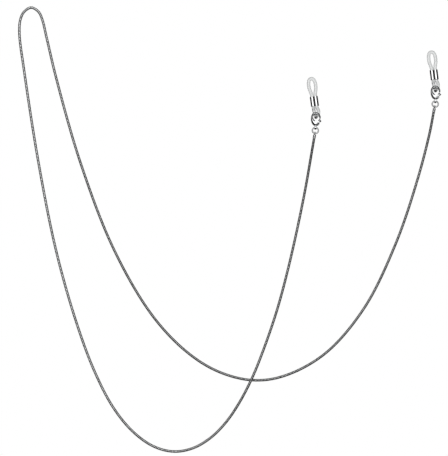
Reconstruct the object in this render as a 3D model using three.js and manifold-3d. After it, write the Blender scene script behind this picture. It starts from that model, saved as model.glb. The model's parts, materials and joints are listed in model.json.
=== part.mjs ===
// Eyeglasses chain strap: one long snake chain with the same fitting at each end.
// A fitting is an end cap with an eye, a jump ring, a lobster clasp with its sprung
// lever, and a soft silicone loop that grips the temple of a pair of glasses.
// The strap lies flat on a surface. Millimetres, +Z up, the surface is Z = 0.
// The origin is on that surface, near the middle of the box around both fittings.
import * as THREE from 'three';
import { mergeVertices } from 'three/addons/utils/BufferGeometryUtils.js';
import Module from 'manifold-3d';

const wasm = await Module();
wasm.setup();

// ---------------------------------------------------------------- driving sizes

const CHAIN_DIAMETER = 1.2;
const CHAIN_BORE = 0.74;
const CHAIN_SIDES = 8;
const STEPS_PER_SPAN = 2;

// The ring plane's height, and where each ring's centre lies on the surface.
const RING_HEIGHT = 1.72;
const RING_WIRE = 0.6;
const RING_RADIUS = 1.35;

const CAP_RADIUS = 0.65;
const CAP_NEAR = 0.47; // from the eye's centre to the top of the cap's shoulder
const CAP_FAR = 2.22; // from the eye's centre to the face that the chain's end meets
const CAP_TOP_RADIUS = 0.3;
const SHOULDER_RADIUS = 0.55;
const SHOULDER_DROPS = [0.1, 0.35]; // from the cap's top to the shoulder's two corners
const SPIGOT_RADIUS = 0.25;
const SPIGOT_LENGTH = 1.0;
const EYE_RADIUS = 0.64;
const EYE_WIRE = 0.42;

const CLASP_HALF_THICKNESS = 0.7;
const CLASP_ROUNDING = 0.2;
const TAIL_RADIUS = 0.95;
const TAIL_HOLE_RADIUS = 0.57;
const TAIL_WIDTH = 0.95;
const HOOK_BAR = new THREE.Vector3(-0.1, 6.27, 0); // the middle of the bar under the loop
const LEVER_SLOT_LOW = new THREE.Vector2(-0.5, 1.175);
const LEVER_SLOT_HIGH = new THREE.Vector2(2.4, 3.925);
const LEVER_PIVOT = new THREE.Vector3(0.75, 2.05, 0);
const LEVER_HALF_THICKNESS = 0.28;
const GATE_HALF_THICKNESS = 0.6;
const GATE_ROUNDING = 0.12;
const LEVER_SLOT_HALF = 0.42;
const LEVER_SWEEP_RADIUS = 1.2; // the gate is thick only outside this radius
const RIVET_RADIUS = 0.28;
const RIVET_HOLE_RADIUS = 0.36;
const LEVER_HOLE_RADIUS = 0.4;
const SPRING_WIDTH = 0.5;
const SPRING_THICKNESS = 0.16;
const DRILL_LENGTH = 4; // any cutter that goes right through the clasp

const CORD_DIAMETER = 1.5; // the silicone loop's own round section
const CORD_SPACING = 0.78; // half the distance between its two runs in the sleeve
const LOOP_WRAP_RADIUS = 1.62; // the run over and under the hook's bar
const LOOP_STEPS = 78; // three to each of the path's points

const SLEEVE_START = 3.4;
const SLEEVE_LENGTH = 4.4;
const SLEEVE_BORE = 0.84;
const SLEEVE_WALL = 0.18;

// Each fitting: its ring's centre, and how far its pieces turn about +Z, in degrees.
const FITTINGS = [
  { side: 'left', x: -26.6, y: -15.6, capTurn: -9, claspTurn: -3, loopTurn: 7.7 },
  { side: 'right', x: 27.3, y: -3.7, capTurn: -11, claspTurn: -2, loopTurn: 6.8 },
];
const CLASP_TILT = 6.6; // the clasp rises from its ring to its hook
const LOOP_TILT = -5.8; // the silicone loop comes down to the surface again

// The chain's route along the surface, from the left cap to the right one.
const CHAIN_ROUTE = [
  [-27.18, -19.25, 1.72],
  [-31.7, -45.1, 0.6],
  [-37.9, -73.9, 0.6],
  [-43.6, -95.6, 0.65],
  [-49.7, -113.6, 1.25],
  [-55.2, -127.2, 2.2],
  [-61.2, -138.7, 1.25],
  [-67.0, -147.1, 0.7],
  [-73.8, -153.9, 0.6],
  [-81.7, -158.5, 0.6],
  [-90.3, -160.0, 0.6],
  [-99.3, -157.7, 0.6],
  [-108.5, -151.2, 0.6],
  [-117.3, -140.5, 0.6],
  [-125.5, -124.9, 0.6],
  [-133.7, -103.1, 0.6],
  [-143.1, -70.1, 0.6],
  [-151.2, -29.6, 0.6],
  [-157.6, 11.4, 0.6],
  [-159.7, 27.9, 0.6],
  [-159.3, 34.2, 0.6],
  [-157.6, 37.8, 0.6],
  [-154.4, 39.7, 0.6],
  [-151.1, 37.8, 0.6],
  [-149.4, 34.2, 0.6],
  [-147.5, 26.3, 0.6],
  [-143.0, 7.4, 0.6],
  [-132.4, -29.6, 0.6],
  [-117.4, -68.7, 0.6],
  [-100.0, -98.7, 0.6],
  [-84.4, -115.2, 0.6],
  [-70.3, -124.0, 0.6],
  [-54.9, -127.9, 0.6],
  [-40.7, -126.0, 0.6],
  [-22.3, -116.0, 0.6],
  [-4.7, -95.6, 0.6],
  [9.5, -66.7, 0.6],
  [19.3, -37.9, 0.6],
  [24.8, -16.8, 1.1],
  [26.59, -7.33, 1.72],
];

// ------------------------------------------------------------------- materials

const material = (color, roughness, metalness) =>
  new THREE.MeshStandardMaterial({ color, roughness, metalness });
const CHAIN_SILVER = material(0xa9abad, 0.25, 1);
const POLISHED_SILVER = material(0xc9cbcd, 0.12, 1);
const SPRING_STEEL = material(0x9a9da0, 0.3, 1);
const CLEAR_SILICONE = material(0xdfe2e2, 0.35, 0);

// ------------------------------------------------------------- solids and cuts

function toSolid(geometry) {
  const bare = geometry.clone();
  bare.deleteAttribute('normal');
  bare.deleteAttribute('uv');
  const merged = mergeVertices(bare, 1e-4);
  const corners = merged.index.array;
  // A turned shape has flat triangles at its axis, and they are dropped.
  const kept = [];
  for (let i = 0; i < corners.length; i += 3) {
    const [a, b, c] = [corners[i], corners[i + 1], corners[i + 2]];
    if (a !== b && b !== c && c !== a) kept.push(a, b, c);
  }
  return new wasm.Manifold(
    new wasm.Mesh({
      numProp: 3,
      vertProperties: new Float32Array(merged.attributes.position.array),
      triVerts: new Uint32Array(kept),
    }),
  );
}

function toGeometry(solid) {
  const mesh = solid.getMesh();
  const geometry = new THREE.BufferGeometry();
  geometry.setAttribute('position', new THREE.BufferAttribute(mesh.vertProperties, 3));
  geometry.setIndex(new THREE.BufferAttribute(mesh.triVerts, 1));
  geometry.computeVertexNormals();
  return geometry;
}

// A closed profile turned about the local Y axis.
function turned(profile, segments) {
  const points = profile.map(([r, y]) => new THREE.Vector2(r, y));
  return new THREE.LatheGeometry(points, segments);
}

// A plain rod along the local Z axis, centred on the origin.
function rod(radius, length, segments) {
  return new THREE.CylinderGeometry(radius, radius, length, segments).rotateX(Math.PI / 2);
}

// A flat plate of one outline, its middle plane at Z = 0, with rounded edges.
function plate(shape, halfThickness, rounding) {
  const geometry = new THREE.ExtrudeGeometry(shape, {
    depth: 2 * (halfThickness - rounding),
    bevelEnabled: rounding > 0,
    bevelThickness: rounding,
    bevelSize: rounding,
    bevelOffset: -rounding,
    bevelSegments: 2,
    steps: 1,
  });
  return geometry.translate(0, 0, rounding - halfThickness);
}

// A closed smooth outline through a few hand-set points.
function smoothShape(points, divisions) {
  const curve = new THREE.SplineCurve([...points, points[0]].map(([x, y]) => new THREE.Vector2(x, y)));
  const outline = curve.getPoints(divisions);
  outline.pop();
  return new THREE.Shape(outline);
}

function piece(name, geometry, finish) {
  const mesh = new THREE.Mesh(geometry, finish);
  mesh.name = name;
  return mesh;
}

// ------------------------------------------------------------------- the chain

// Steps follow the route's own points, which lie closer together in the tight bends,
// and the curve never sinks into the surface between two of them.
class ChainRoute extends THREE.CatmullRomCurve3 {
  getPoint(t, target) {
    const point = super.getPoint(t, target);
    point.z = Math.max(point.z, CHAIN_DIAMETER / 2);
    return point;
  }

  getUtoTmapping(u) {
    return u;
  }
}

function polygon(sides, radius) {
  return Array.from({ length: sides }, (_, side) => {
    const angle = (side / sides) * 2 * Math.PI;
    return new THREE.Vector2(radius * Math.cos(angle), radius * Math.sin(angle));
  });
}

// The chain is hollow, as its bands are, so that the caps' spigots fit in its ends.
function chain() {
  const route = new ChainRoute(CHAIN_ROUTE.map((p) => new THREE.Vector3(...p)), false, 'centripetal');
  const section = new THREE.Shape(polygon(CHAIN_SIDES, CHAIN_DIAMETER / 2));
  section.holes.push(new THREE.Path(polygon(CHAIN_SIDES, CHAIN_BORE / 2)));
  const geometry = new THREE.ExtrudeGeometry(section, {
    steps: STEPS_PER_SPAN * (CHAIN_ROUTE.length - 1),
    extrudePath: route,
    bevelEnabled: false,
  });
  return piece('snake_chain', geometry, CHAIN_SILVER);
}

// ------------------------------------------------------- end cap and jump ring

// A turned cap with a spigot that is soldered in the chain's hollow end, and a round wire
// eye on its shoulder. Its eye is centred on the origin, and the cap points along -Y.
function endCap(side) {
  const stub = turned(
    [
      [0, -CAP_FAR - SPIGOT_LENGTH],
      [SPIGOT_RADIUS, -CAP_FAR - SPIGOT_LENGTH],
      [SPIGOT_RADIUS, -CAP_FAR],
      [CAP_RADIUS, -CAP_FAR],
      [CAP_RADIUS, -CAP_NEAR - SHOULDER_DROPS[1]],
      [SHOULDER_RADIUS, -CAP_NEAR - SHOULDER_DROPS[0]],
      [CAP_TOP_RADIUS, -CAP_NEAR],
      [0, -CAP_NEAR],
    ],
    16,
  );
  const eye = new THREE.TorusGeometry(EYE_RADIUS, EYE_WIRE / 2, 8, 18).rotateY(Math.PI / 2);
  return piece(`chain_end_cap_${side}`, toGeometry(toSolid(stub).add(toSolid(eye))), POLISHED_SILVER);
}

function jumpRing(side) {
  const ring = new THREE.TorusGeometry(RING_RADIUS, RING_WIRE / 2, 8, 24);
  return piece(`jump_ring_${side}`, ring, POLISHED_SILVER);
}

// ----------------------------------------------------------------- lobster clasp

// The claw's outer edge goes up its left side, over the hook and down to the hook's tip.
// Its inner edge comes back round the eye. The lower right is the pivot's round boss.
const CLAW_OUTLINE = [
  [-0.6, 0.75],
  [-1.3, 1.2],
  [-1.8, 1.95],
  [-2.15, 2.9],
  [-2.27, 4.1],
  [-2.15, 5.2],
  [-1.65, 6.25],
  [-0.8, 6.82],
  [0.1, 6.92],
  [1.0, 6.55],
  [1.72, 5.8],
  [2.05, 4.95],
  [2.02, 4.15],
  [1.7, 3.98],
  [1.4, 4.2],
  [1.34, 4.75],
  [0.95, 5.35],
  [0.3, 5.6],
  [-0.5, 5.6],
  [-1.15, 5.3],
  [-1.4, 4.7],
  [-1.15, 4.0],
  [-0.6, 3.35],
  [0.05, 3.0],
  [0.75, 2.98],
  [1.4, 2.8],
  [1.78, 2.25],
  [1.6, 1.5],
  [1.1, 1.0],
  [0.6, 0.75],
];

// The lever's lower end is a round boss on the rivet, and its gate ends under the hook's
// tip. The tab for the thumb stands out on the right.
const LEVER_OUTLINE = [
  [0.35, 1.62],
  [0.75, 1.5],
  [1.2, 1.7],
  [1.55, 2.3],
  [2.15, 2.62],
  [2.5, 2.95],
  [2.3, 3.25],
  [2.0, 3.4],
  [1.98, 3.72],
  [1.68, 3.84],
  [1.32, 3.7],
  [1.0, 3.05],
  [0.4, 2.55],
  [0.2, 2.1],
];

function claspBody(side) {
  const claw = toSolid(plate(smoothShape(CLAW_OUTLINE, 58), CLASP_HALF_THICKNESS, CLASP_ROUNDING));
  // The tail is a short barrel across the claw, and the jump ring runs through it.
  const tail = new THREE.CylinderGeometry(TAIL_RADIUS, TAIL_RADIUS, TAIL_WIDTH, 20).rotateZ(Math.PI / 2);
  const tailHole = new THREE.CylinderGeometry(TAIL_HOLE_RADIUS, TAIL_HOLE_RADIUS, DRILL_LENGTH, 16);
  tailHole.rotateZ(Math.PI / 2);
  const rivetHole = rod(RIVET_HOLE_RADIUS, DRILL_LENGTH, 14);
  rivetHole.translate(LEVER_PIVOT.x, LEVER_PIVOT.y, 0);
  // The lever's slot opens to the right and up into the claw's eye.
  const slotSize = LEVER_SLOT_HIGH.clone().sub(LEVER_SLOT_LOW);
  const slotCentre = LEVER_SLOT_HIGH.clone().add(LEVER_SLOT_LOW).divideScalar(2);
  const slot = new THREE.BoxGeometry(slotSize.x, slotSize.y, 2 * LEVER_SLOT_HALF);
  slot.translate(slotCentre.x, slotCentre.y, 0);
  const body = toSolid(tail)
    .add(claw)
    .subtract(toSolid(tailHole))
    .subtract(toSolid(slot))
    .subtract(toSolid(rivetHole));
  return piece(`clasp_body_${side}`, toGeometry(body), POLISHED_SILVER);
}

function claspLever(side) {
  const outline = smoothShape(LEVER_OUTLINE, 36);
  const blade = toSolid(plate(outline, LEVER_HALF_THICKNESS, 0));
  // The gate is as thick as the claw, and stays clear of the cheeks at every angle.
  const sweep = rod(LEVER_SWEEP_RADIUS, DRILL_LENGTH, 24);
  sweep.translate(LEVER_PIVOT.x, LEVER_PIVOT.y, 0);
  const gate = toSolid(plate(outline, GATE_HALF_THICKNESS, GATE_ROUNDING)).subtract(toSolid(sweep));
  const hole = rod(LEVER_HOLE_RADIUS, DRILL_LENGTH, 14);
  hole.translate(LEVER_PIVOT.x, LEVER_PIVOT.y, 0);
  return piece(
    `clasp_lever_${side}`,
    toGeometry(blade.add(gate).subtract(toSolid(hole))),
    POLISHED_SILVER,
  );
}

function claspRivet(side) {
  const rivet = rod(RIVET_RADIUS, 2 * CLASP_HALF_THICKNESS, 12);
  rivet.translate(LEVER_PIVOT.x, LEVER_PIVOT.y, 0);
  return piece(`clasp_rivet_${side}`, rivet, POLISHED_SILVER);
}

// A bent strip in the slot, behind the lever's boss, which pushes the gate shut.
function leverSpring(side) {
  const bend = new THREE.CatmullRomCurve3(
    [[0.0, 2.72], [-0.2, 2.3], [-0.18, 1.85], [0.1, 1.5]].map(([x, y]) => new THREE.Vector3(x, y, 0)),
  );
  const [w, t] = [SPRING_WIDTH / 2, SPRING_THICKNESS / 2];
  const strip = new THREE.Shape([[-w, -t], [w, -t], [w, t], [-w, t]].map((p) => new THREE.Vector2(...p)));
  const geometry = new THREE.ExtrudeGeometry(strip, { steps: 8, extrudePath: bend, bevelEnabled: false });
  return piece(`lever_spring_${side}`, geometry, SPRING_STEEL);
}

// ------------------------------------------------------ silicone loop and sleeve

// One endless ring of round silicone cord. From the top of the temple loop it comes down
// the left side into the sleeve, passes over the hook's bar and through the claw's eye,
// comes back under the bar, and goes up the right side. The bar's middle is the origin.
function siliconeLoop(side) {
  const s = CORD_SPACING;
  const r = LOOP_WRAP_RADIUS;
  const path = new THREE.CatmullRomCurve3(
    [
      [0, 15.95, 0],
      [-0.85, 15.6, 0],
      [-1.32, 14.7, 0],
      [-1.54, 13.2, 0],
      [-1.48, 11.6, 0],
      [-1.12, 10.0, 0],
      [-s, 8.5, 0],
      [-s, 5.6, 0],
      [-s, 3.7, 0],
      [-s, 2.8, 0.12],
      [-0.85, 1.6, 1.1],
      [-0.75, 0.35, r],
      [-0.45, -0.95, 0.9 * r],
      [-0.35, -1.6, 0],
      [0.3, -0.95, -0.9 * r],
      [1.2, 0.35, -r],
      [1.25, 1.6, -1.05],
      [s, 2.8, -0.12],
      [s, 3.7, 0],
      [s, 5.6, 0],
      [s, 8.5, 0],
      [1.12, 10.0, 0],
      [1.48, 11.6, 0],
      [1.54, 13.2, 0],
      [1.32, 14.7, 0],
      [0.85, 15.6, 0],
    ].map((p) => new THREE.Vector3(...p)),
    true,
    'centripetal',
  );
  // The path closes on itself, so this tube has no ends.
  const ring = new THREE.TubeGeometry(path, LOOP_STEPS, CORD_DIAMETER / 2, 9, true);
  ring.deleteAttribute('normal');
  ring.deleteAttribute('uv');
  return piece(`silicone_loop_${side}`, mergeVertices(ring, 1e-4), CLEAR_SILICONE);
}

// Two circles side by side, as one outline with a waist.
function doubleBarrel(target, radius) {
  const waist = Math.acos(CORD_SPACING / radius);
  target.absarc(CORD_SPACING, 0, radius, -(Math.PI - waist), Math.PI - waist, false);
  target.absarc(-CORD_SPACING, 0, radius, waist, 2 * Math.PI - waist, false);
  return target;
}

function sleeve(side) {
  const section = doubleBarrel(new THREE.Shape(), SLEEVE_BORE + SLEEVE_WALL);
  section.holes.push(doubleBarrel(new THREE.Path(), SLEEVE_BORE));
  const geometry = new THREE.ExtrudeGeometry(section, {
    depth: SLEEVE_LENGTH,
    steps: 1,
    curveSegments: 12,
    bevelEnabled: false,
  });
  geometry.rotateX(-Math.PI / 2).translate(0, SLEEVE_START, 0);
  return piece(`sleeve_${side}`, geometry, POLISHED_SILVER);
}

// ---------------------------------------------------------------- the assembly

const degrees = THREE.MathUtils.degToRad;

function fitting({ side, x, y, capTurn, claspTurn, loopTurn }) {
  const group = new THREE.Group();
  group.position.set(x, y, RING_HEIGHT);
  group.add(jumpRing(side));

  const capGroup = new THREE.Group();
  capGroup.rotation.z = degrees(capTurn);
  const cap = endCap(side);
  cap.position.y = -RING_RADIUS;
  capGroup.add(cap);

  const claspTurnGroup = new THREE.Group();
  claspTurnGroup.rotation.z = degrees(claspTurn);
  const clasp = new THREE.Group();
  clasp.position.y = RING_RADIUS;
  clasp.rotation.x = degrees(CLASP_TILT);
  clasp.add(claspBody(side), claspLever(side), claspRivet(side), leverSpring(side));
  claspTurnGroup.add(clasp);

  const loopGroup = new THREE.Group();
  loopGroup.position.copy(HOOK_BAR);
  loopGroup.rotation.set(degrees(LOOP_TILT - CLASP_TILT), 0, degrees(loopTurn - claspTurn));
  loopGroup.add(siliconeLoop(side), sleeve(side));
  clasp.add(loopGroup);

  group.add(capGroup, claspTurnGroup);
  return group;
}

const strap = new THREE.Group();
strap.add(chain(), ...FITTINGS.map(fitting));

export default strap;
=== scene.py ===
import json
import math

import bmesh
import bpy
from mathutils import Matrix, Vector
from mathutils.kdtree import KDTree


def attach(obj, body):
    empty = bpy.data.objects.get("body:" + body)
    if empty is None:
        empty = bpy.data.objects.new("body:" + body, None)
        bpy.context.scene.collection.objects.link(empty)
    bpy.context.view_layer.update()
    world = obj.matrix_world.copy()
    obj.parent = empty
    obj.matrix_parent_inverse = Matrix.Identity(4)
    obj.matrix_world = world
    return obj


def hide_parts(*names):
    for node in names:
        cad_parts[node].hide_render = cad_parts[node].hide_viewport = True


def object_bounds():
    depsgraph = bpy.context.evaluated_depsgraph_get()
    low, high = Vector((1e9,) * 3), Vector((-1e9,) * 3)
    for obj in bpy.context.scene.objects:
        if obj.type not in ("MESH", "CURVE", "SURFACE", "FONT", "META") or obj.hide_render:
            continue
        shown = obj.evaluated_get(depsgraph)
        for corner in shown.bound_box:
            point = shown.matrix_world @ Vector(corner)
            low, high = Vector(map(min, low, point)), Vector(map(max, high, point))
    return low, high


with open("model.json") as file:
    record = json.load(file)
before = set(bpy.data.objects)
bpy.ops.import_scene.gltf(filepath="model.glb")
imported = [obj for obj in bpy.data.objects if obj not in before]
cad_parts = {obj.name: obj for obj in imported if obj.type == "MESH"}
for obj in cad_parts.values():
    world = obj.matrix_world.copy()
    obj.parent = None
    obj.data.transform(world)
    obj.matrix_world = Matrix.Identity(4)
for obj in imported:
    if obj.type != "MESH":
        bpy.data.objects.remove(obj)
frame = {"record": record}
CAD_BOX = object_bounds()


# ================================================================ the snake chain
# A round snake chain: about 1150 short bands of silver-plated brass, each pressed to a wave
# and closed to a ring. They nest one behind the other round a thin core, so the chain bends
# anywhere. The end caps' spigots are soldered in its two ends, where the core stops short.

CHAIN_DIAMETER = 0.0012
BAND_PITCH = 0.00065
BAND_HEIGHT = 0.00062
BAND_THICKNESS = 0.00016
BAND_WAVE = 0.00011
WAVES_AROUND = 2.0
BAND_FLATNESS = 0.62
BAND_SIDES = 12
BAND_SECTION_SIDES = 7
BAND_TONE_SEED = 7
GROOVE_SHARPNESS = 6.0
CORE_RADIUS = 0.00045
CORE_SIDES = 6
CORE_INSET = 0.0011
BANDS_PER_CORE_STEP = 3.0
ROUTE_STEPS = 24
WELD_DISTANCE = 1e-6

CHAIN_ROUTE = [
    (-0.02718, -0.01925, 0.00172),
    (-0.0317, -0.0451, 0.0006),
    (-0.0379, -0.0739, 0.0006),
    (-0.0436, -0.0956, 0.00065),
    (-0.0497, -0.1136, 0.00125),
    (-0.0552, -0.1272, 0.0022),
    (-0.0612, -0.1387, 0.00125),
    (-0.067, -0.1471, 0.0007),
    (-0.0738, -0.1539, 0.0006),
    (-0.0817, -0.1585, 0.0006),
    (-0.0903, -0.16, 0.0006),
    (-0.0993, -0.1577, 0.0006),
    (-0.1085, -0.1512, 0.0006),
    (-0.1173, -0.1405, 0.0006),
    (-0.1255, -0.1249, 0.0006),
    (-0.1337, -0.1031, 0.0006),
    (-0.1431, -0.0701, 0.0006),
    (-0.1512, -0.0296, 0.0006),
    (-0.1576, 0.0114, 0.0006),
    (-0.1597, 0.0279, 0.0006),
    (-0.1593, 0.0342, 0.0006),
    (-0.1576, 0.0378, 0.0006),
    (-0.1544, 0.0397, 0.0006),
    (-0.1511, 0.0378, 0.0006),
    (-0.1494, 0.0342, 0.0006),
    (-0.1475, 0.0263, 0.0006),
    (-0.143, 0.0074, 0.0006),
    (-0.1324, -0.0296, 0.0006),
    (-0.1174, -0.0687, 0.0006),
    (-0.1, -0.0987, 0.0006),
    (-0.0844, -0.1152, 0.0006),
    (-0.0703, -0.124, 0.0006),
    (-0.0549, -0.1279, 0.0006),
    (-0.0407, -0.126, 0.0006),
    (-0.0223, -0.116, 0.0006),
    (-0.0047, -0.0956, 0.0006),
    (0.0095, -0.0667, 0.0006),
    (0.0193, -0.0379, 0.0006),
    (0.0248, -0.0168, 0.0011),
    (0.02659, -0.00733, 0.00172),
]


def smooth_line(points, steps, closed=False):
    """A smooth line through given points, even where they lie at uneven distances."""
    given = [Vector(point) for point in points]
    count = len(given)
    if closed:
        before, after = given[-1], given[0]
        spans = range(count)
    else:
        before, after = 2 * given[0] - given[1], 2 * given[-1] - given[-2]
        spans = range(count - 1)
    padded = [before, *given, after, given[1]]
    line = []
    for span in spans:
        p0, p1, p2, p3 = padded[span:span + 4]
        d0, d1, d2 = (math.sqrt((b - a).length) for a, b in ((p0, p1), (p1, p2), (p2, p3)))
        leave = ((p1 - p0) / d0 - (p2 - p0) / (d0 + d1) + (p2 - p1) / d1) * d1
        reach = ((p2 - p1) / d1 - (p3 - p1) / (d1 + d2) + (p3 - p2) / d2) * d1
        for step in range(steps):
            t = step / steps
            curl = 3 * (p2 - p1) - 2 * leave - reach
            close = 2 * (p1 - p2) + leave + reach
            line.append(p1 + t * (leave + t * (curl + t * close)))
    if not closed:
        line.append(given[-1])
    return line


def path_object(name, points, closed=False):
    """A bare curve that node trees grow their meshes along."""
    curve = bpy.data.curves.new(name, "CURVE")
    curve.dimensions = "3D"
    curve.twist_mode = "Z_UP"
    spline = curve.splines.new("POLY")
    spline.points.add(len(points) - 1)
    for place, point in zip(spline.points, points):
        place.co = (*point, 1)
    spline.use_cyclic_u = closed
    path = bpy.data.objects.new(name, curve)
    bpy.context.scene.collection.objects.link(path)
    return path


def add_node(tree, kind, inputs=None, **settings):
    """One node of a tree. Each of its inputs takes a plain value or another node's socket."""
    node = tree.nodes.new(kind)
    for name, value in settings.items():
        setattr(node, name, value)
    for name, value in (inputs or {}).items():
        if isinstance(value, bpy.types.NodeSocket):
            tree.links.new(value, node.inputs[name])
        else:
            node.inputs[name].default_value = value
    return node


def new_tree(name, kind, inputs, outputs):
    """An empty node tree with named inputs and outputs, given as {name: socket kind}."""
    tree = bpy.data.node_groups.new(name, kind)
    for label, socket in inputs.items():
        tree.interface.new_socket(label, in_out="INPUT", socket_type=socket)
    for label, socket in outputs.items():
        tree.interface.new_socket(label, in_out="OUTPUT", socket_type=socket)
    return tree, tree.nodes.new("NodeGroupInput").outputs, tree.nodes.new("NodeGroupOutput").inputs


def maths(tree, operation, first, second=0.0):
    """The result of one sum in a tree."""
    return add_node(tree, "ShaderNodeMath", {0: first, 1: second}, operation=operation).outputs[0]


def ranged(tree, value, low, high, start=0.0, end=1.0):
    """A value brought from the range start..end to the range low..high."""
    ends = {"Value": value, "From Min": start, "From Max": end, "To Min": low, "To Max": high}
    return add_node(tree, "ShaderNodeMapRange", ends).outputs["Result"]


def stored(tree, geometry, name, value, domain="POINT"):
    """A geometry with one more named attribute, for its material to read."""
    return add_node(
        tree,
        "GeometryNodeStoreNamedAttribute",
        {"Geometry": geometry, "Name": name, "Value": value},
        data_type="FLOAT",
        domain=domain,
    ).outputs["Geometry"]


def painted(tree, geometry, material):
    """Real geometry with its material, which is how every tree ends."""
    whole = add_node(tree, "GeometryNodeRealizeInstances", {"Geometry": geometry})
    inputs = {"Geometry": whole.outputs["Geometry"], "Material": material}
    return add_node(tree, "GeometryNodeSetMaterial", inputs).outputs["Geometry"]


def mesh_piece(name, mesh):
    """A piece of the visual model, at the origin, with its place in its mesh."""
    piece = bpy.data.objects.new(name, mesh)
    bpy.context.scene.collection.objects.link(piece)
    return piece


def grown(name, path, tree, values):
    """The plain mesh that a node tree grows along a path, with the path taken away."""
    modifier = path.modifiers.new("grow", "NODES")
    modifier.node_group = tree
    for item in tree.interface.items_tree:
        if item.in_out == "INPUT" and item.name in values:
            modifier[item.identifier] = values[item.name]
    depsgraph = bpy.context.evaluated_depsgraph_get()
    mesh = bpy.data.meshes.new_from_object(path.evaluated_get(depsgraph))
    bpy.data.objects.remove(path)
    return mesh_piece(name, mesh)


def snake_chain_tree():
    """Wavy bands, one behind the other along a path, round a core."""
    number = "NodeSocketFloat"
    tree, given, result = new_tree(
        "snake chain",
        "GeometryNodeTree",
        {
            "Route": "NodeSocketGeometry",
            "Pitch": number,
            "Radius": number,
            "Height": number,
            "Thickness": number,
            "Wave": number,
            "Core Radius": number,
            "Core Inset": number,
            "Around": "NodeSocketInt",
            "Section": "NodeSocketInt",
            "Seed": "NodeSocketInt",
            "Metal": "NodeSocketMaterial",
        },
        {"Chain": "NodeSocketGeometry"},
    )
    # One band starts as a flat sheet. It is rolled up round the chain, and round its own
    # section, until its edges meet both ways.
    sheet = add_node(
        tree,
        "GeometryNodeMeshGrid",
        {
            "Size X": 2 * math.pi,
            "Size Y": 2 * math.pi,
            "Vertices X": maths(tree, "ADD", given["Around"], 1.0),
            "Vertices Y": maths(tree, "ADD", given["Section"], 1.0),
        },
    ).outputs["Mesh"]
    place = add_node(tree, "GeometryNodeInputPosition").outputs["Position"]
    axes = add_node(tree, "ShaderNodeSeparateXYZ", {"Vector": place}).outputs
    around, section = axes["X"], axes["Y"]
    half_wall = maths(tree, "MULTIPLY", given["Thickness"], 0.5)
    middle = maths(tree, "SUBTRACT", given["Radius"], half_wall)
    bulge = maths(tree, "COSINE", section)
    flat_topped = ranged(tree, bulge, -1.0, 1.0, -BAND_FLATNESS, BAND_FLATNESS)
    swell = maths(tree, "MULTIPLY", half_wall, flat_topped)
    radius = maths(tree, "ADD", middle, swell)
    slope = maths(tree, "SINE", section)
    rise = maths(tree, "MULTIPLY", maths(tree, "MULTIPLY", given["Height"], 0.5), slope)
    waving = maths(tree, "COSINE", maths(tree, "MULTIPLY", around, WAVES_AROUND))
    wave = maths(tree, "MULTIPLY", given["Wave"], waving)
    formed = add_node(
        tree,
        "ShaderNodeCombineXYZ",
        {
            "X": maths(tree, "MULTIPLY", radius, maths(tree, "COSINE", around)),
            "Y": maths(tree, "MULTIPLY", radius, maths(tree, "SINE", around)),
            "Z": maths(tree, "ADD", rise, wave),
        },
    ).outputs["Vector"]
    # The groove mask is highest at each band's rolled edges, and it sets where the band's colour
    # gets painted shade.
    groove = maths(tree, "POWER", maths(tree, "ABSOLUTE", slope), GROOVE_SHARPNESS)
    marked = stored(tree, sheet, "groove", groove)
    rolled = add_node(tree, "GeometryNodeSetPosition", {"Geometry": marked, "Position": formed})
    band = add_node(
        tree,
        "GeometryNodeMergeByDistance",
        {"Geometry": rolled.outputs["Geometry"], "Distance": WELD_DISTANCE},
    ).outputs["Geometry"]
    share = add_node(tree, "GeometryNodeSplineParameter").outputs["Factor"]
    measured = stored(tree, given["Route"], "along", share)
    # Bands stand on the route, turned to its direction, with their waves all one way.
    stations = add_node(
        tree,
        "GeometryNodeCurveToPoints",
        {"Curve": measured, "Length": given["Pitch"]},
        mode="LENGTH",
    ).outputs
    turn = add_node(
        tree,
        "FunctionNodeAxesToRotation",
        {"Primary Axis": stations["Tangent"], "Secondary Axis": (0.0, 0.0, 1.0)},
        primary_axis="Z",
        secondary_axis="X",
    ).outputs["Rotation"]
    row = add_node(
        tree,
        "GeometryNodeInstanceOnPoints",
        {"Points": stations["Points"], "Instance": band, "Rotation": turn},
    ).outputs["Instances"]
    chance = add_node(tree, "FunctionNodeRandomValue", {"Seed": given["Seed"]}, data_type="FLOAT")
    toned = stored(tree, row, "tone", chance.outputs[1], domain="INSTANCE")
    bands = add_node(tree, "GeometryNodeRealizeInstances", {"Geometry": toned}).outputs["Geometry"]
    # The core is a plain six-sided rod, and all of it counts as the bottom of a groove, so its
    # colour gets the full painted groove shade.
    circle = add_node(
        tree,
        "GeometryNodeCurvePrimitiveCircle",
        {"Resolution": CORE_SIDES, "Radius": given["Core Radius"]},
    ).outputs["Curve"]
    length = add_node(tree, "GeometryNodeCurveLength", {"Curve": given["Route"]}).outputs["Length"]
    core_end = maths(tree, "SUBTRACT", length, given["Core Inset"])
    inner = add_node(
        tree,
        "GeometryNodeTrimCurve",
        {0: given["Route"], 4: given["Core Inset"], 5: core_end},
        mode="LENGTH",
    ).outputs["Curve"]
    spaced = add_node(
        tree,
        "GeometryNodeResampleCurve",
        {"Curve": inner, "Length": maths(tree, "MULTIPLY", given["Pitch"], BANDS_PER_CORE_STEP)},
        mode="LENGTH",
    ).outputs["Curve"]
    rod = add_node(
        tree,
        "GeometryNodeCurveToMesh",
        {"Curve": spaced, "Profile Curve": circle, "Fill Caps": True},
    ).outputs["Mesh"]
    core = stored(tree, rod, "groove", 1.0)
    both = tree.nodes.new("GeometryNodeJoinGeometry")
    tree.links.new(core, both.inputs[0])
    tree.links.new(bands, both.inputs[0])
    shaded = add_node(tree, "GeometryNodeSetShadeSmooth", {"Geometry": both.outputs[0]})
    chain_geometry = painted(tree, shaded.outputs["Geometry"], given["Metal"])
    tree.links.new(chain_geometry, result["Chain"])
    return tree


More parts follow.
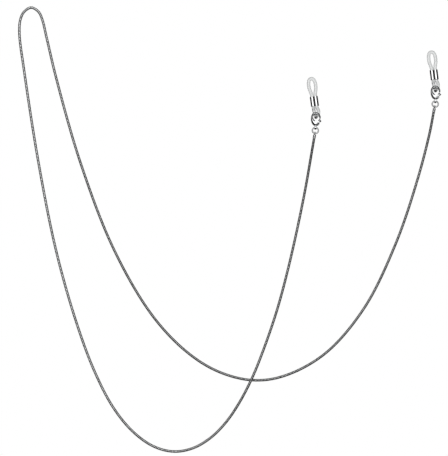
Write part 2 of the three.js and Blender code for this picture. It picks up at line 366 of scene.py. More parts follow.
def mixed_colour(tree, factor, first, second, blend="MIX"):
    """Two colours mixed in a tree."""
    return add_node(
        tree,
        "ShaderNodeMix",
        {"Factor": factor, 6: first, 7: second},
        data_type="RGBA",
        blend_type=blend,
    ).outputs[2]


HAZE_STARTS, HAZE_FULL = 0.35, 0.75
HAZE_COLOUR_SHARE = 0.35
SCRATCH_STRENGTH = 0.4


def polish_group():
    """Hand polish on plated metal: soft hazy patches and fine scratches."""
    number, colour = "NodeSocketFloat", "NodeSocketColor"
    tree, given, result = new_tree(
        "worn polish",
        "ShaderNodeTree",
        {
            "Metal": colour,
            "Tarnish": colour,
            "Roughness": number,
            "Spread": number,
            "Patch": number,
            "Scratch": number,
        },
        {"Colour": colour, "Roughness": number, "Height": number},
    )
    place = add_node(tree, "ShaderNodeTexCoord").outputs["Object"]
    patches = add_node(
        tree,
        "ShaderNodeTexNoise",
        {"Vector": place, "Scale": given["Patch"], "Detail": 3.0, "Roughness": 0.6},
    ).outputs["Fac"]
    hazy = ranged(tree, patches, 0.0, 1.0, HAZE_STARTS, HAZE_FULL)
    scratches = add_node(
        tree,
        "ShaderNodeTexNoise",
        {"Vector": place, "Scale": given["Scratch"], "Detail": 2.0, "Distortion": 1.5},
    ).outputs["Fac"]
    haze = maths(tree, "MULTIPLY", hazy, HAZE_COLOUR_SHARE)
    rough = maths(tree, "ADD", given["Roughness"], maths(tree, "MULTIPLY", hazy, given["Spread"]))
    tree.links.new(mixed_colour(tree, haze, given["Metal"], given["Tarnish"]), result["Colour"])
    tree.links.new(rough, result["Roughness"])
    tree.links.new(scratches, result["Height"])
    return tree


POLISH = polish_group()


def plated_metal(name, metal, tarnish, roughness, spread, patch, scratch, relief, painted_shade_and_tone=None):
    """A plated metal with its worn polish. A painted shade, with a random tone on the chain, may
    darken its colour in places.
    """
    material = bpy.data.materials.new(name)
    material.use_nodes = True
    tree = material.node_tree
    shader = tree.nodes["Principled BSDF"]
    shader.inputs["Metallic"].default_value = 1.0
    polish = tree.nodes.new("ShaderNodeGroup")
    polish.node_tree = POLISH
    worn = {
        "Metal": (*metal, 1),
        "Tarnish": (*tarnish, 1),
        "Roughness": roughness,
        "Spread": spread,
        "Patch": patch,
        "Scratch": scratch,
    }
    for label, value in worn.items():
        polish.inputs[label].default_value = value
    bump = add_node(
        tree,
        "ShaderNodeBump",
        {"Height": polish.outputs["Height"], "Strength": SCRATCH_STRENGTH, "Distance": relief},
    )
    colour = polish.outputs["Colour"]
    tree.links.new(painted_shade_and_tone(tree, colour) if painted_shade_and_tone else colour, shader.inputs["Base Color"])
    tree.links.new(polish.outputs["Roughness"], shader.inputs["Roughness"])
    tree.links.new(bump.outputs["Normal"], shader.inputs["Normal"])
    return material


# Painted light and shade along the chain, from the left end (0) to the right end (1): the plate's
# colour is kept at full brightness from about a quarter to half way along and darkened elsewhere,
# most at both ends.
CHAIN_PAINTED_LIGHT = [
    (0.0, 0.35),
    (0.05, 0.6),
    (0.1, 0.62),
    (0.2, 0.8),
    (0.28, 1.0),
    (0.52, 1.0),
    (0.6, 0.78),
    (0.66, 0.66),
    (0.96, 0.62),
    (1.0, 0.4),
]


DULLEST_BAND = 0.82
# Painted shade: how far the plate's colour is darkened at the bottom of the grooves.
GROOVE_SHADE = 0.12


def chain_painted_light_and_tone(tree, colour):
    """The plate's colour with a random tone for each band, painted shade in the grooves, and
    painted light and shade along the chain's length.
    """
    groove = add_node(tree, "ShaderNodeAttribute", attribute_name="groove").outputs["Fac"]
    tone = add_node(tree, "ShaderNodeAttribute", attribute_name="tone").outputs["Fac"]
    along = add_node(tree, "ShaderNodeAttribute", attribute_name="along").outputs["Fac"]
    # Painted light and shade: the plate's colour is darkened by its place along the chain.
    ramp = add_node(tree, "ShaderNodeValToRGB", {"Fac": along})
    stops = ramp.color_ramp.elements
    stops.remove(stops[1])
    for stop, (place, painted_brightness) in enumerate(CHAIN_PAINTED_LIGHT):
        element = stops[0] if stop == 0 else stops.new(place)
        element.position = place
        element.color = (painted_brightness, painted_brightness, painted_brightness, 1)
    light = ranged(tree, tone, DULLEST_BAND, 1.0)
    painted_groove_shade = ranged(tree, groove, 1.0, GROOVE_SHADE)
    shade = maths(tree, "MULTIPLY", maths(tree, "MULTIPLY", light, painted_groove_shade), ramp.outputs["Color"])
    return mixed_colour(tree, 1.0, colour, shade, blend="MULTIPLY")


CHAIN_SILVER = plated_metal(
    "chain_silver_plate",
    metal=(0.94, 0.95, 0.96),
    tarnish=(0.66, 0.66, 0.66),
    roughness=0.22,
    spread=0.12,
    patch=900.0,
    scratch=16000.0,
    relief=0.00001,
    painted_shade_and_tone=chain_painted_light_and_tone,
)

chain_line = smooth_line(CHAIN_ROUTE, ROUTE_STEPS)
for point in chain_line:
    point.z = max(point.z, CHAIN_DIAMETER / 2)

chain = grown(
    "snake_chain_links",
    path_object("chain_route", chain_line),
    snake_chain_tree(),
    {
        "Pitch": BAND_PITCH,
        "Radius": CHAIN_DIAMETER / 2,
        "Height": BAND_HEIGHT,
        "Thickness": BAND_THICKNESS,
        "Wave": BAND_WAVE,
        "Core Radius": CORE_RADIUS,
        "Core Inset": CORE_INSET,
        "Around": BAND_SIDES,
        "Section": BAND_SECTION_SIDES,
        "Seed": BAND_TONE_SEED,
        "Metal": CHAIN_SILVER,
    },
)
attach(chain, "chain")
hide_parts("snake_chain")


# ================================================================ the end caps
# A turned cap of plated brass closes each end of the chain. A spigot on it is soldered in
# the last bands, and a small wire eye is brazed on its shoulder.

MM = 0.001
CAP_RADIUS = 0.65
CAP_NEAR = 0.47
CAP_FAR = 2.22
CAP_DOME = 0.38
CAP_EDGE = 0.07
CAP_GROOVES = (1.35, 1.75)
GROOVE_DEPTH = 0.05
GROOVE_WIDTH = 0.24
GROOVE_STEPS = 8
SPIGOT_RADIUS = 0.25
SPIGOT_LENGTH = 1.0
CAP_SIDES = 48
CAP_VOXEL = 0.03
CAP_SOFTENING = 3
EYE_RADIUS = 0.64
EYE_WIRE = 0.42
EYE_DISTANCE = 1.35
EYE_STEPS = 40
EYE_SIDES = 16


def joint(name):
    """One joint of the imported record: where it is and which way it turns or slides."""
    return next(j for j in frame["record"]["behaviour"]["joints"] if j["name"] == name)


def own_frame(origin, across, along):
    """Carries a fitting drawn in millimetres, X across and Y along it, to its place in metres."""
    x, y = Vector(across).normalized(), Vector(along).normalized()
    turn = Matrix((x, y, x.cross(y))).transposed().to_4x4()
    return Matrix.Translation(Vector(origin)) @ turn @ Matrix.Scale(MM, 4)


def arc(centre, radius, start, end, steps):
    """Points on an arc, from one angle to another in degrees."""
    angles = [math.radians(start + (end - start) * step / steps) for step in range(steps + 1)]
    return [(centre[0] + radius * math.cos(a), centre[1] + radius * math.sin(a)) for a in angles]


def turned(profile, around):
    """A profile of (radius, height) points turned about Y, as on a lathe."""
    shape = bmesh.new()
    rings = []
    for radius, height in profile:
        # A point on the axis is one vertex, and any other point is a ring of them.
        angles = [2 * math.pi * step / around for step in range(around if radius else 1)]
        places = [(radius * math.cos(a), height, -radius * math.sin(a)) for a in angles]
        rings.append([shape.verts.new(place) for place in places])
    for first, second in zip(rings, rings[1:]):
        for step in range(around):
            here, there = step, (step + 1) % around
            if len(first) == 1:
                corners = [first[0], second[there], second[here]]
            elif len(second) == 1:
                corners = [first[here], first[there], second[0]]
            else:
                corners = [first[here], first[there], second[there], second[here]]
            shape.faces.new(corners)
    return shape


def closed_mesh(name, shape):
    """A mesh of a closed shape, its doubles merged and its faces turned outwards."""
    bmesh.ops.remove_doubles(shape, verts=shape.verts, dist=1e-4)
    bmesh.ops.recalc_face_normals(shape, faces=shape.faces)
    mesh = bpy.data.meshes.new(name)
    shape.to_mesh(mesh)
    shape.free()
    return mesh


def finished(name, mesh, place, material, crease=40):
    """A piece in its place, with smooth shading that stops at its sharp edges."""
    mesh.transform(place)
    mesh.materials.clear()
    mesh.materials.append(material)
    mesh.shade_smooth()
    mesh.set_sharp_from_angle(angle=math.radians(crease))
    return mesh_piece(name, mesh)


def wire_tree():
    """Round wire along a path."""
    tree, given, result = new_tree(
        "round wire",
        "GeometryNodeTree",
        {
            "Path": "NodeSocketGeometry",
            "Radius": "NodeSocketFloat",
            "Around": "NodeSocketInt",
            "Material": "NodeSocketMaterial",
        },
        {"Wire": "NodeSocketGeometry"},
    )
    section = add_node(
        tree,
        "GeometryNodeCurvePrimitiveCircle",
        {"Resolution": given["Around"], "Radius": given["Radius"]},
    ).outputs["Curve"]
    wire = add_node(
        tree,
        "GeometryNodeCurveToMesh",
        {"Curve": given["Path"], "Profile Curve": section, "Fill Caps": True},
    ).outputs["Mesh"]
    tree.links.new(painted(tree, wire, given["Material"]), result["Wire"])
    return tree


WIRE = wire_tree()


def grown_mesh(path, tree, values):
    """The closed mesh that a node tree grows along a path, with no object left behind."""
    piece = grown("grown", path, tree, values)
    shape = bmesh.new()
    shape.from_mesh(piece.data)
    bpy.data.objects.remove(piece)
    return closed_mesh("grown", shape)


def wire_mesh(points, radius, around, closed, material):
    """The mesh of a round wire along points."""
    values = {"Radius": radius, "Around": around, "Material": material}
    return grown_mesh(path_object("wire_path", points, closed), WIRE, values)


def fused(mesh, voxel, rounds):
    """One skin round everything in a mesh, softened as a casting or a brazed joint is."""
    holder = mesh_piece("fused", mesh)
    remesh = holder.modifiers.new("skin", "REMESH")
    remesh.mode = "VOXEL"
    remesh.voxel_size = voxel
    smooth = holder.modifiers.new("soften", "SMOOTH")
    smooth.factor = 0.5
    smooth.iterations = rounds
    depsgraph = bpy.context.evaluated_depsgraph_get()
    skin = bpy.data.meshes.new_from_object(holder.evaluated_get(depsgraph))
    bpy.data.objects.remove(holder)
    return skin


def cap_mesh():
    """Spigot, rounded mouth, two turned grooves and a domed shoulder, with the eye brazed on."""
    tip = -CAP_FAR - SPIGOT_LENGTH
    profile = [(0, tip), (SPIGOT_RADIUS, tip), (SPIGOT_RADIUS, -CAP_FAR)]
    profile += arc((CAP_RADIUS - CAP_EDGE, -CAP_FAR + CAP_EDGE), CAP_EDGE, -90, 0, 6)
    for groove in reversed(CAP_GROOVES):
        for step in range(GROOVE_STEPS + 1):
            part = step / GROOVE_STEPS - 0.5
            depth = GROOVE_DEPTH * math.cos(math.pi * part) ** 2
            profile.append((CAP_RADIUS - depth, -groove + GROOVE_WIDTH * part))
    profile += arc((CAP_RADIUS - CAP_DOME, -CAP_NEAR - CAP_DOME), CAP_DOME, 0, 90, 10)
    profile.append((0, -CAP_NEAR))
    shape = turned(profile, CAP_SIDES)
    ring = [(0, y, z) for y, z in arc((0, 0), EYE_RADIUS, 0, 360, EYE_STEPS)[:-1]]
    shape.from_mesh(wire_mesh(ring, EYE_WIRE / 2, EYE_SIDES, True, DULL_SILVER))
    return fused(closed_mesh("cap", shape), CAP_VOXEL, CAP_SOFTENING)


DULL_SILVER = plated_metal(
    "dull_silver_plate",
    metal=(0.56, 0.57, 0.58),
    tarnish=(0.38, 0.37, 0.36),
    roughness=0.12,
    spread=0.14,
    patch=1100.0,
    scratch=9000.0,
    relief=0.000006,
)

ENDS = {"left": CHAIN_ROUTE[0], "right": CHAIN_ROUTE[-1]}
for side, chain_end in ENDS.items():
    ring_centre = Vector(joint(f"ring_{side}_swing")["pos_m"])
    outwards = (ring_centre - Vector(chain_end)).normalized()
    eye = ring_centre - outwards * EYE_DISTANCE * MM
    cap = finished(
        f"soldered_cap_{side}",
        cap_mesh(),
        own_frame(eye, outwards.cross((0, 0, 1)), outwards),
        DULL_SILVER,
    )
    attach(cap, "chain")
    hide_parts(f"chain_end_cap_{side}")


# ================================================================ the jump rings
# A ring of round brass wire joins each cap's eye to the tail of its clasp. It is plated,
# bent open with two pairs of pliers, hung in both and pushed shut, without solder, so its
# two cut ends meet in a fine gap.

RING_RADIUS = 1.35
RING_WIRE = 0.6
RING_GAP_DEGREES = 2.4
RING_GAP_AT = 24
RING_STEPS = 72
RING_SIDES = 20

for side in ENDS:
    swing = joint(f"ring_{side}_swing")
    first = RING_GAP_AT + RING_GAP_DEGREES / 2
    last = RING_GAP_AT - RING_GAP_DEGREES / 2 + 360
    bend = [(x, y, 0) for x, y in arc((0, 0), RING_RADIUS, first, last, RING_STEPS)]
    ring = finished(
        f"split_ring_{side}",
        wire_mesh(bend, RING_WIRE / 2, RING_SIDES, False, DULL_SILVER),
        own_frame(swing["pos_m"], (1, 0, 0), (0, 1, 0)),
        DULL_SILVER,
    )
    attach(ring, f"ring_{side}")
    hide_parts(f"jump_ring_{side}")


# ================================================================ the clasp bodies
# A lobster claw, cast in zinc and polished before it is plated. The tail is a short barrel
# that the jump ring runs through, and a slot for the lever splits the claw into two cheeks.

CLAW_HALF_THICKNESS = 0.7
CLAW_EDGE = 0.12
CLAW_DOME = 0.95
CLAW_RIM = 0.3
CLAW_STEPS = 16
CLAW_VOXEL = 0.05
CAST_VOXEL = 0.04
CAST_SOFTENING = 4
BOSS_RIM = 0.74
BOSS_RADIUS = 1.15
BOSS_BLEND = 0.45
TAIL_RADIUS = 0.95
TAIL_BORE = 0.57
TAIL_WIDTH = 0.95
TAIL_ROUNDING = 0.12
TAIL_SIDES = 40
EDGE_STEPS = 5
PLATE_EDGE_STEPS = 4
RIVET_AT = (0.75, 2.05)
RIVET_HOLE = 0.36
DRILL_SIDES = 40
DRILL_LENGTH = 4.0
SLOT_LOW, SLOT_HIGH = (-0.5, 1.175, -0.42), (2.4, 3.925, 0.42)

# Up the left side, over the hook and down to its tip, then back round the eye.
CLAW_OUTLINE = [
    (-0.6, 0.75),
    (-1.3, 1.2),
    (-1.8, 1.95),
    (-2.15, 2.9),
    (-2.27, 4.1),
    (-2.15, 5.2),
    (-1.65, 6.25),
    (-0.8, 6.82),
    (0.1, 6.92),
    (1.0, 6.55),
    (1.72, 5.8),
    (2.05, 4.95),
    (2.02, 4.15),
    (1.7, 3.98),
    (1.4, 4.2),
    (1.34, 4.75),
    (0.95, 5.35),
    (0.3, 5.6),
    (-0.5, 5.6),
    (-1.15, 5.3),
    (-1.4, 4.7),
    (-1.15, 4.0),
    (-0.6, 3.35),
    (0.05, 3.0),
    (0.75, 2.98),
    (1.4, 2.8),
    (1.78, 2.25),
    (1.6, 1.5),
    (1.1, 1.0),
    (0.6, 0.75),
]


def plate(outlines, half_thickness, rounding):
    """A plate of one or more closed outlines with rounded edges, its middle at Z = 0."""
    curve = bpy.data.curves.new("plate", "CURVE")
    curve.dimensions = "2D"
    curve.fill_mode = "BOTH"
    curve.extrude = half_thickness - rounding
    curve.bevel_depth = rounding
    curve.bevel_resolution = PLATE_EDGE_STEPS
    curve.offset = -rounding
    for outline in outlines:
        spline = curve.splines.new("POLY")
        spline.points.add(len(outline) - 1)
        for place, point in zip(spline.points, outline):
            place.co = (point[0], point[1], 0, 1)
        spline.use_cyclic_u = True
    holder = bpy.data.objects.new("plate", curve)
    mesh = bpy.data.meshes.new_from_object(holder)
    bpy.data.objects.remove(holder)
    shape = bmesh.new()
    shape.from_mesh(mesh)
    return shape


def outline_of(points, steps):
    """A smooth closed outline through a few points."""
    return smooth_line([(*point, 0) for point in points], steps, closed=True)


def block(corner, opposite):
    """A plain block, for cutting with."""
    shape = bmesh.new()
    size = [b - a for a, b in zip(corner, opposite)]
    centre = [(a + b) / 2 for a, b in zip(corner, opposite)]
    place = Matrix.Translation(centre) @ Matrix.Diagonal((*size, 1))
    bmesh.ops.create_cube(shape, size=1, matrix=place)
    return shape


def drill(radius, place):
    """A long round bar along Z, for cutting with."""
    shape = bmesh.new()
    bmesh.ops.create_cone(
        shape,
        cap_ends=True,
        segments=DRILL_SIDES,
        radius1=radius,
        radius2=radius,
        depth=DRILL_LENGTH,
        matrix=Matrix.Translation((*place, 0)),
    )
    return shape


def cut(mesh, tools):
    """A mesh with each tool's shape taken out of it."""
    holder = mesh_piece("cut", mesh)
    helpers = []
    for tool in tools:
        helper = mesh_piece("tool", closed_mesh("tool", tool))
        taken = holder.modifiers.new("cut", "BOOLEAN")
        taken.operation = "DIFFERENCE"
        taken.solver = "EXACT"
        taken.object = helper
        helpers.append(helper)
    depsgraph = bpy.context.evaluated_depsgraph_get()
    result = bpy.data.meshes.new_from_object(holder.evaluated_get(depsgraph))
    for used in (holder, *helpers):
        bpy.data.objects.remove(used)
    return result


def rounded_bush(inner, outer, width, rounding):
    """A short tube about Y with rounded edges."""
    half = width / 2 - rounding
    low_out, high_out = (outer - rounding, -half), (outer - rounding, half)
    high_in, low_in = (inner + rounding, half), (inner + rounding, -half)
    profile = []
    for quarter, corner in enumerate((low_out, high_out, high_in, low_in), start=-1):
        profile += arc(corner, rounding, 90 * quarter, 90 * quarter + 90, EDGE_STEPS)
    profile.append(profile[0])
    return turned(profile, TAIL_SIDES)


def domed(mesh, outline, reach, rim, boss_rim):
    """A plate's mesh, made thinner towards its outline so that both its faces are domed.

    The rims are the thickness left at the outline, as a share: the second one is for the
    flatter boss round the rivet.
    """
    near = KDTree(len(outline))
    for index, point in enumerate(outline):
        near.insert(point, index)
    near.balance()
    for vertex in mesh.vertices:
        inset = near.find((vertex.co.x, vertex.co.y, 0))[2]
        part = min(1.0, inset / reach)
        away = (vertex.co.xy - Vector(RIVET_AT)).length - BOSS_RADIUS
        least = boss_rim + (rim - boss_rim) * min(1.0, max(0.0, away / BOSS_BLEND))
        vertex.co.z *= max(least, math.sqrt(1 - (1 - part) ** 2))
    return mesh


def claw_mesh():
    """The claw, domed, slotted and drilled, with its tail, in one cast skin."""
    outline = outline_of(CLAW_OUTLINE, CLAW_STEPS)
    blank = closed_mesh("claw", plate([outline], CLAW_HALF_THICKNESS, CLAW_EDGE))
    claw = domed(fused(blank, CLAW_VOXEL, 0), outline, CLAW_DOME, CLAW_RIM, BOSS_RIM)
    claw = cut(claw, [block(SLOT_LOW, SLOT_HIGH), drill(RIVET_HOLE, RIVET_AT)])
    tail = rounded_bush(TAIL_BORE, TAIL_RADIUS, TAIL_WIDTH, TAIL_ROUNDING)
    bmesh.ops.rotate(tail, verts=tail.verts, matrix=Matrix.Rotation(math.pi / 2, 3, "Z"))
    tail.from_mesh(claw)
    return fused(closed_mesh("cast_claw", tail), CAST_VOXEL, CAST_SOFTENING)


def clasp_frame(side):
    """The clasp's own frame: its tail on the jump ring, its flat faces across its lever's axis."""
    fold = joint(f"clasp_{side}_fold")
    across = Vector(fold["axis"])
    facing = Vector(joint(f"lever_{side}_open")["axis"])
    return own_frame(fold["pos_m"], across, facing.cross(across))


POLISHED_SILVER = plated_metal(
    "polished_silver_plate",
    metal=(0.8, 0.81, 0.82),
    tarnish=(0.3, 0.29, 0.28),
    roughness=0.07,
    spread=0.12,
    patch=1500.0,
    scratch=9000.0,
    relief=0.000006,
)

for side in ENDS:
    claw = finished(f"lobster_claw_{side}", claw_mesh(), clasp_frame(side), POLISHED_SILVER)
    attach(claw, f"clasp_{side}")
    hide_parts(f"clasp_body_{side}")


# ================================================================ the levers
# The claw's gate is a small lever, cast in zinc and plated. It turns on the rivet between
# the claw's cheeks, its upper end closes the eye under the hook's tip, and a tab that stands
# out on its right is for the thumb.

LEVER_BLADE_HALF = 0.28
LEVER_BLADE_EDGE = 0.05
LEVER_GATE_HALF = 0.6
LEVER_EDGE = 0.1
LEVER_DOME = 0.45
LEVER_RIM = 0.4
LEVER_HOLE = 0.4
LEVER_SWEEP = 1.2
LEVER_STEPS = 12
GATE_VOXEL = 0.04
LEVER_VOXEL = 0.035
LEVER_SOFTENING = 3

LEVER_OUTLINE = [
    (0.35, 1.62),
    (0.75, 1.5),
    (1.2, 1.7),
    (1.55, 2.3),
    (2.15, 2.62),
    (2.5, 2.95),
    (2.3, 3.25),
    (2.0, 3.4),
    (1.98, 3.72),
    (1.68, 3.84),
    (1.32, 3.7),
    (1.0, 3.05),
    (0.4, 2.55),
    (0.2, 2.1),
]


def lever_mesh():
    """A thin blade between the cheeks, and a domed gate outside their reach."""
    outline = outline_of(LEVER_OUTLINE, LEVER_STEPS)
    blade = closed_mesh("blade", plate([outline], LEVER_BLADE_HALF, LEVER_BLADE_EDGE))
    blade = cut(blade, [drill(LEVER_HOLE, RIVET_AT)])
    gate = closed_mesh("gate", plate([outline], LEVER_GATE_HALF, LEVER_EDGE))
    gate = domed(fused(gate, GATE_VOXEL, 0), outline, LEVER_DOME, LEVER_RIM, LEVER_RIM)
    gate = cut(gate, [drill(LEVER_SWEEP, RIVET_AT)])
    shape = bmesh.new()
    shape.from_mesh(blade)
    shape.from_mesh(gate)
    return fused(closed_mesh("lever", shape), LEVER_VOXEL, LEVER_SOFTENING)


for side in ENDS:
    lever = finished(f"sprung_lever_{side}", lever_mesh(), clasp_frame(side), DULL_SILVER)
    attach(lever, f"lever_{side}")
    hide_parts(f"clasp_lever_{side}")


# ================================================================ the rivets
# A soft steel pin, plated like the clasp, that the lever turns on. It runs through both of
# the claw's cheeks and is peened to a low dome at each end, so that it stays in.

RIVET_RADIUS = 0.28
RIVET_HEAD_RADIUS = 0.34
RIVET_HALF = 0.7
RIVET_HEAD_DEPTH = 0.1
RIVET_SIDES = 32
RIVET_HEAD_STEPS = 6


def rivet_mesh():
    """The pin with its two peened heads, across the claw at its rivet hole."""
    head = [
        (RIVET_HEAD_RADIUS * math.cos(a), RIVET_HALF - RIVET_HEAD_DEPTH * (1 - math.sin(a)))
        for a in (math.pi / 2 * step / RIVET_HEAD_STEPS for step in range(RIVET_HEAD_STEPS + 1))
    ]
    foot = [(radius, -height) for radius, height in reversed(head)]
    neck = RIVET_HALF - 2 * RIVET_HEAD_DEPTH
    pin = turned([*foot, (RIVET_RADIUS, -neck), (RIVET_RADIUS, neck), *head], RIVET_SIDES)
    bmesh.ops.rotate(pin, verts=pin.verts, matrix=Matrix.Rotation(math.pi / 2, 3, "X"))
    bmesh.ops.translate(pin, verts=pin.verts, vec=(*RIVET_AT, 0))
    return closed_mesh("rivet", pin)


for side in ENDS:
    rivet = finished(f"peened_rivet_{side}", rivet_mesh(), clasp_frame(side), DULL_SILVER)
    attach(rivet, f"clasp_{side}")
    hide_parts(f"clasp_rivet_{side}")


# ================================================================ the lever springs
# A short strip of tempered spring steel, cut and bent to a shallow curve. It is pressed
# into the claw's slot behind the lever, which it pushes shut.

SPRING_WIDTH = 0.5
SPRING_THICKNESS = 0.16
SPRING_CORNER = 0.05
SPRING_CORNER_STEPS = 3
SPRING_STEPS = 8
SPRING_PATH = [(0.0, 2.72, 0), (-0.2, 2.3, 0), (-0.18, 1.85, 0), (0.1, 1.5, 0)]


def strip_tree():
    """A flat strip with rounded corners along a path."""
    number = "NodeSocketFloat"
    tree, given, result = new_tree(
        "flat strip",
        "GeometryNodeTree",
        {
            "Path": "NodeSocketGeometry",
            "Width": number,
            "Thickness": number,
            "Corner": number,
            "Material": "NodeSocketMaterial",
        },
        {"Strip": "NodeSocketGeometry"},
    )
    section = add_node(
        tree,
        "GeometryNodeCurvePrimitiveQuadrilateral",
        {"Width": given["Thickness"], "Height": given["Width"]},
    ).outputs["Curve"]
    rounded = add_node(
        tree,
        "GeometryNodeFilletCurve",
        {"Curve": section, "Count": SPRING_CORNER_STEPS, "Radius": given["Corner"]},
        mode="POLY",
    ).outputs["Curve"]
    strip = add_node(
        tree,
        "GeometryNodeCurveToMesh",
        {"Curve": given["Path"], "Profile Curve": rounded, "Fill Caps": True},
    ).outputs["Mesh"]
    tree.links.new(painted(tree, strip, given["Material"]), result["Strip"])
    return tree


STRIP = strip_tree()
SPRING_STEEL = plated_metal(
    "spring_steel",
    metal=(0.55, 0.56, 0.58),
    tarnish=(0.38, 0.35, 0.31),
    roughness=0.28,
    spread=0.15,
    patch=1500.0,
    scratch=12000.0,
    relief=0.00001,
)

for side in ENDS:
    strip = grown_mesh(
        path_object("spring_path", smooth_line(SPRING_PATH, SPRING_STEPS)),
        STRIP,
        {
            "Width": SPRING_WIDTH,
            "Thickness": SPRING_THICKNESS,
            "Corner": SPRING_CORNER,
            "Material": SPRING_STEEL,
        },
    )
    spring = finished(f"bent_spring_{side}", strip, clasp_frame(side), SPRING_STEEL)
    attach(spring, f"clasp_{side}")
    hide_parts(f"lever_spring_{side}")


# ================================================================ the silicone loops
# An endless ring of clear round silicone cord, moulded in one. It passes over the hook's bar,
# through the claw's eye and back up, and its upper end opens round a temple of the glasses.

CORD_RADIUS = 0.75
CORD_SIDES = 28
CORD_STEPS = 10
CORD_CREASE = 80
HALF_SPACING = 0.78
WRAP = 1.62

# From the top of the temple loop down its left side, round the bar, and up the right side.
LOOP_PATH = [
    (0, 15.95, 0),
    (-0.85, 15.6, 0),
    (-1.32, 14.7, 0),
    (-1.54, 13.2, 0),
    (-1.48, 11.6, 0),
    (-1.12, 10.0, 0),
    (-HALF_SPACING, 8.5, 0),
    (-HALF_SPACING, 5.6, 0),
    (-HALF_SPACING, 3.7, 0),
    (-HALF_SPACING, 2.8, 0.12),
    (-0.85, 1.6, 1.1),
    (-0.75, 0.35, WRAP),
    (-0.45, -0.95, 0.9 * WRAP),
    (-0.35, -1.6, 0),
    (0.3, -0.95, -0.9 * WRAP),
    (1.2, 0.35, -WRAP),
    (1.25, 1.6, -1.05),
    (HALF_SPACING, 2.8, -0.12),
    (HALF_SPACING, 3.7, 0),
    (HALF_SPACING, 5.6, 0),
    (HALF_SPACING, 8.5, 0),
    (1.12, 10.0, 0),
    (1.48, 11.6, 0),
    (1.54, 13.2, 0),
    (1.32, 14.7, 0),
    (0.85, 15.6, 0),
]


MILKY_TINT = (0.66, 0.67, 0.67, 1)
CLEAR_TINT = (0.9, 0.91, 0.91, 1)
# Painted shade at the cord's outline.
PAINTED_RIM_COLOUR = (0.1, 0.105, 0.105, 1)
SMOOTHEST_SKIN, DULLEST_SKIN = 0.08, 0.26


def clear_silicone():
    """Clear silicone, a little milky, with a skin that dulls it in patches, and painted shade
    towards its outline.
    """
    material = bpy.data.materials.new("clear_silicone")
    material.use_nodes = True
    tree = material.node_tree
    shader = tree.nodes["Principled BSDF"]
    shader.inputs["Transmission Weight"].default_value = 0.94
    shader.inputs["IOR"].default_value = 1.41
    place = add_node(tree, "ShaderNodeTexCoord").outputs["Object"]
    cloud = add_node(
        tree,
        "ShaderNodeTexNoise",
        {"Vector": place, "Scale": 450.0, "Detail": 3.0, "Roughness": 0.55},
    ).outputs["Fac"]
    skin = add_node(tree, "ShaderNodeTexNoise", {"Vector": place, "Scale": 5000.0, "Detail": 2.0})
    tint = mixed_colour(tree, cloud, MILKY_TINT, CLEAR_TINT)
    rough = ranged(tree, cloud, SMOOTHEST_SKIN, DULLEST_SKIN)
    bump = add_node(
        tree,
        "ShaderNodeBump",
        {"Height": skin.outputs["Fac"], "Strength": 0.3, "Distance": 0.00001},
    )
    # Painted shade: the cord's colour is darkened towards its outline, where its faces turn away
    # from the view.
    painted_rim_shade = add_node(tree, "ShaderNodeLayerWeight", {"Blend": 0.5}).outputs["Facing"]
    tree.links.new(mixed_colour(tree, painted_rim_shade, tint, PAINTED_RIM_COLOUR), shader.inputs["Base Color"])
    tree.links.new(rough, shader.inputs["Roughness"])
    tree.links.new(bump.outputs["Normal"], shader.inputs["Normal"])
    return material


SILICONE = clear_silicone()


def loop_frame(side):
    """The loop's own frame: the middle of the hook's bar, and the sleeve's line as Y."""
    fold = joint(f"loop_{side}_fold")
    along = Vector(joint(f"sleeve_{side}_slide")["axis"])
    facing = Vector(fold["axis"]).cross(along).normalized()
    return own_frame(fold["pos_m"], along.cross(facing), along)


for side in ENDS:
    ring_line = smooth_line(LOOP_PATH, CORD_STEPS, closed=True)
    loop = finished(
        f"temple_loop_{side}",
        wire_mesh(ring_line, CORD_RADIUS, CORD_SIDES, True, SILICONE),
        loop_frame(side),
        SILICONE,
        crease=CORD_CREASE,
    )
    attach(loop, f"loop_{side}")
    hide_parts(f"silicone_loop_{side}")


# ================================================================ the sleeves
# A tube of plated brass, pressed to a double barrel with rolled ends and polished. Both
# runs of the cord pass through it, and it grips them well enough to stay where it is pushed.

SLEEVE_START = 3.4
SLEEVE_LENGTH = 4.4
SLEEVE_BORE = 0.84
SLEEVE_WALL = 0.18
SLEEVE_ROLL = 0.07
BARREL_STEPS = 40
# Painted shade in the fold between the barrels: how far it reaches from the waist, and its colour.
FOLD_REACH = 0.5
FOLD_SHADE_COLOUR = (0.07, 0.065, 0.06, 1)


def double_barrel(radius):
    """Two circles side by side, as one outline with a waist."""
    waist = math.degrees(math.acos(HALF_SPACING / radius))
    right = arc((HALF_SPACING, 0), radius, waist - 180, 180 - waist, BARREL_STEPS)
    left = arc((-HALF_SPACING, 0), radius, waist, 360 - waist, BARREL_STEPS)
    return right[:-1] + left[:-1]


def fold_painted_shade(tree, colour):
    """The plate's colour, with painted shade in the fold between the two barrels."""
    fold = add_node(tree, "ShaderNodeAttribute", attribute_name="fold").outputs["Fac"]
    return mixed_colour(tree, fold, colour, FOLD_SHADE_COLOUR)


SLEEVE_SILVER = plated_metal(
    "folded_silver_plate",
    metal=(0.86, 0.87, 0.88),
    tarnish=(0.66, 0.66, 0.66),
    roughness=0.06,
    spread=0.1,
    patch=700.0,
    scratch=9000.0,
    relief=0.000006,
    painted_shade_and_tone=fold_painted_shade,
)


def fold_marked(mesh):
    """A sleeve's mesh with its fold marked for the painted shade, from 0 on the barrels to 1 in
    the waist.
    """
    fold = mesh.attributes.new("fold", "FLOAT", "POINT")
    for vertex in mesh.vertices:
        fold.data[vertex.index].value = max(0.0, 1 - abs(vertex.co.x) / FOLD_REACH)
    return mesh


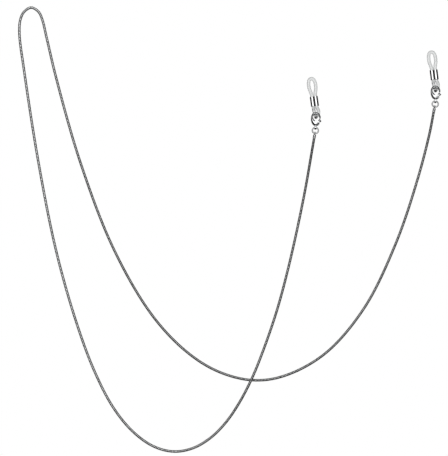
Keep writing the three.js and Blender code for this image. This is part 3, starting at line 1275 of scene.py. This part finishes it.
def sleeve_mesh():
    """The pressed tube, on the loop's two runs, with its fold marked."""
    walls = [double_barrel(SLEEVE_BORE + SLEEVE_WALL), double_barrel(SLEEVE_BORE)]
    tube = plate(walls, SLEEVE_LENGTH / 2, SLEEVE_ROLL)
    bmesh.ops.rotate(tube, verts=tube.verts, matrix=Matrix.Rotation(-math.pi / 2, 3, "X"))
    bmesh.ops.translate(tube, verts=tube.verts, vec=(0, SLEEVE_START + SLEEVE_LENGTH / 2, 0))
    return fold_marked(closed_mesh("sleeve", tube))


for side in ENDS:
    barrel = finished(f"double_sleeve_{side}", sleeve_mesh(), loop_frame(side), SLEEVE_SILVER)
    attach(barrel, f"sleeve_{side}")
    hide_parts(f"sleeve_{side}")


# ================================================================ floor, light and camera
# The strap lies on a smooth white table top. One soft box, a metre and a half each way,
# hangs over it and half a metre beyond its fittings, and the camera looks straight down.

TABLE_HALF = 3.0
TABLE_IN_METAL = 0.03


def table_white():
    """White to the eye and through clear pieces, and dark in what metal mirrors."""
    material = bpy.data.materials.new("white_table")
    material.use_nodes = True
    tree = material.node_tree
    tree.nodes.clear()
    rays = add_node(tree, "ShaderNodeLightPath").outputs
    seen = maths(tree, "MAXIMUM", rays["Is Camera Ray"], rays["Is Transmission Ray"])
    strength = ranged(tree, seen, TABLE_IN_METAL, 1.0)
    glow = add_node(tree, "ShaderNodeEmission", {"Color": (1, 1, 1, 1), "Strength": strength})
    add_node(tree, "ShaderNodeOutputMaterial", {"Surface": glow.outputs["Emission"]})
    return material


table_mesh = bpy.data.meshes.new("table_top")
corners = ((-1, -1), (1, -1), (1, 1), (-1, 1))
table_mesh.from_pydata(
    [(x * TABLE_HALF, y * TABLE_HALF, 0.0) for x, y in corners],
    [],
    [(0, 1, 2, 3)],
)
table_mesh.materials.append(table_white())
table = mesh_piece("table_top", table_mesh)

BOX_OFFSET = Vector((-0.12, 0.5, 1.2))
BOX_SIDE = 1.5
BOX_POWER = 12
ROOM_GREY = (0.5, 0.5, 0.5, 1)
ROOM_STRENGTH = 0.04


def soft_box(name, place):
    """A square soft box that hangs at a place and faces straight down."""
    data = bpy.data.lights.new(name, "AREA")
    data.shape = "RECTANGLE"
    data.size = BOX_SIDE
    data.size_y = BOX_SIDE
    data.energy = BOX_POWER
    lamp = bpy.data.objects.new(name, data)
    lamp.location = place
    lamp.rotation_euler = Vector((0, 0, -1)).to_track_quat("-Z", "Y").to_euler()
    bpy.context.scene.collection.objects.link(lamp)


low, high = CAD_BOX
middle = (low + high) / 2
table_centre = Vector((middle.x, middle.y, 0.0))
soft_box("overhead_box", table_centre + BOX_OFFSET)

room = bpy.data.worlds.new("studio_room")
bpy.context.scene.world = room
room.use_nodes = True
room.node_tree.nodes["Background"].inputs["Color"].default_value = ROOM_GREY
room.node_tree.nodes["Background"].inputs["Strength"].default_value = ROOM_STRENGTH

# The view's height in metres and its aim, a little left of the box's middle.
VIEW_HEIGHT = 0.2052
VIEW_SHIFT = Vector((-0.0025, 0.0007, 0.0))
CAMERA_DISTANCE = 2.0
camera_data = bpy.data.cameras.new("camera")
camera_data.lens = camera_data.sensor_width * CAMERA_DISTANCE / VIEW_HEIGHT
camera = bpy.data.objects.new("camera", camera_data)
camera.location = table_centre + VIEW_SHIFT + Vector((0, 0, CAMERA_DISTANCE))
bpy.context.scene.collection.objects.link(camera)
bpy.context.scene.camera = camera
bpy.context.scene.view_settings.view_transform = "Standard"
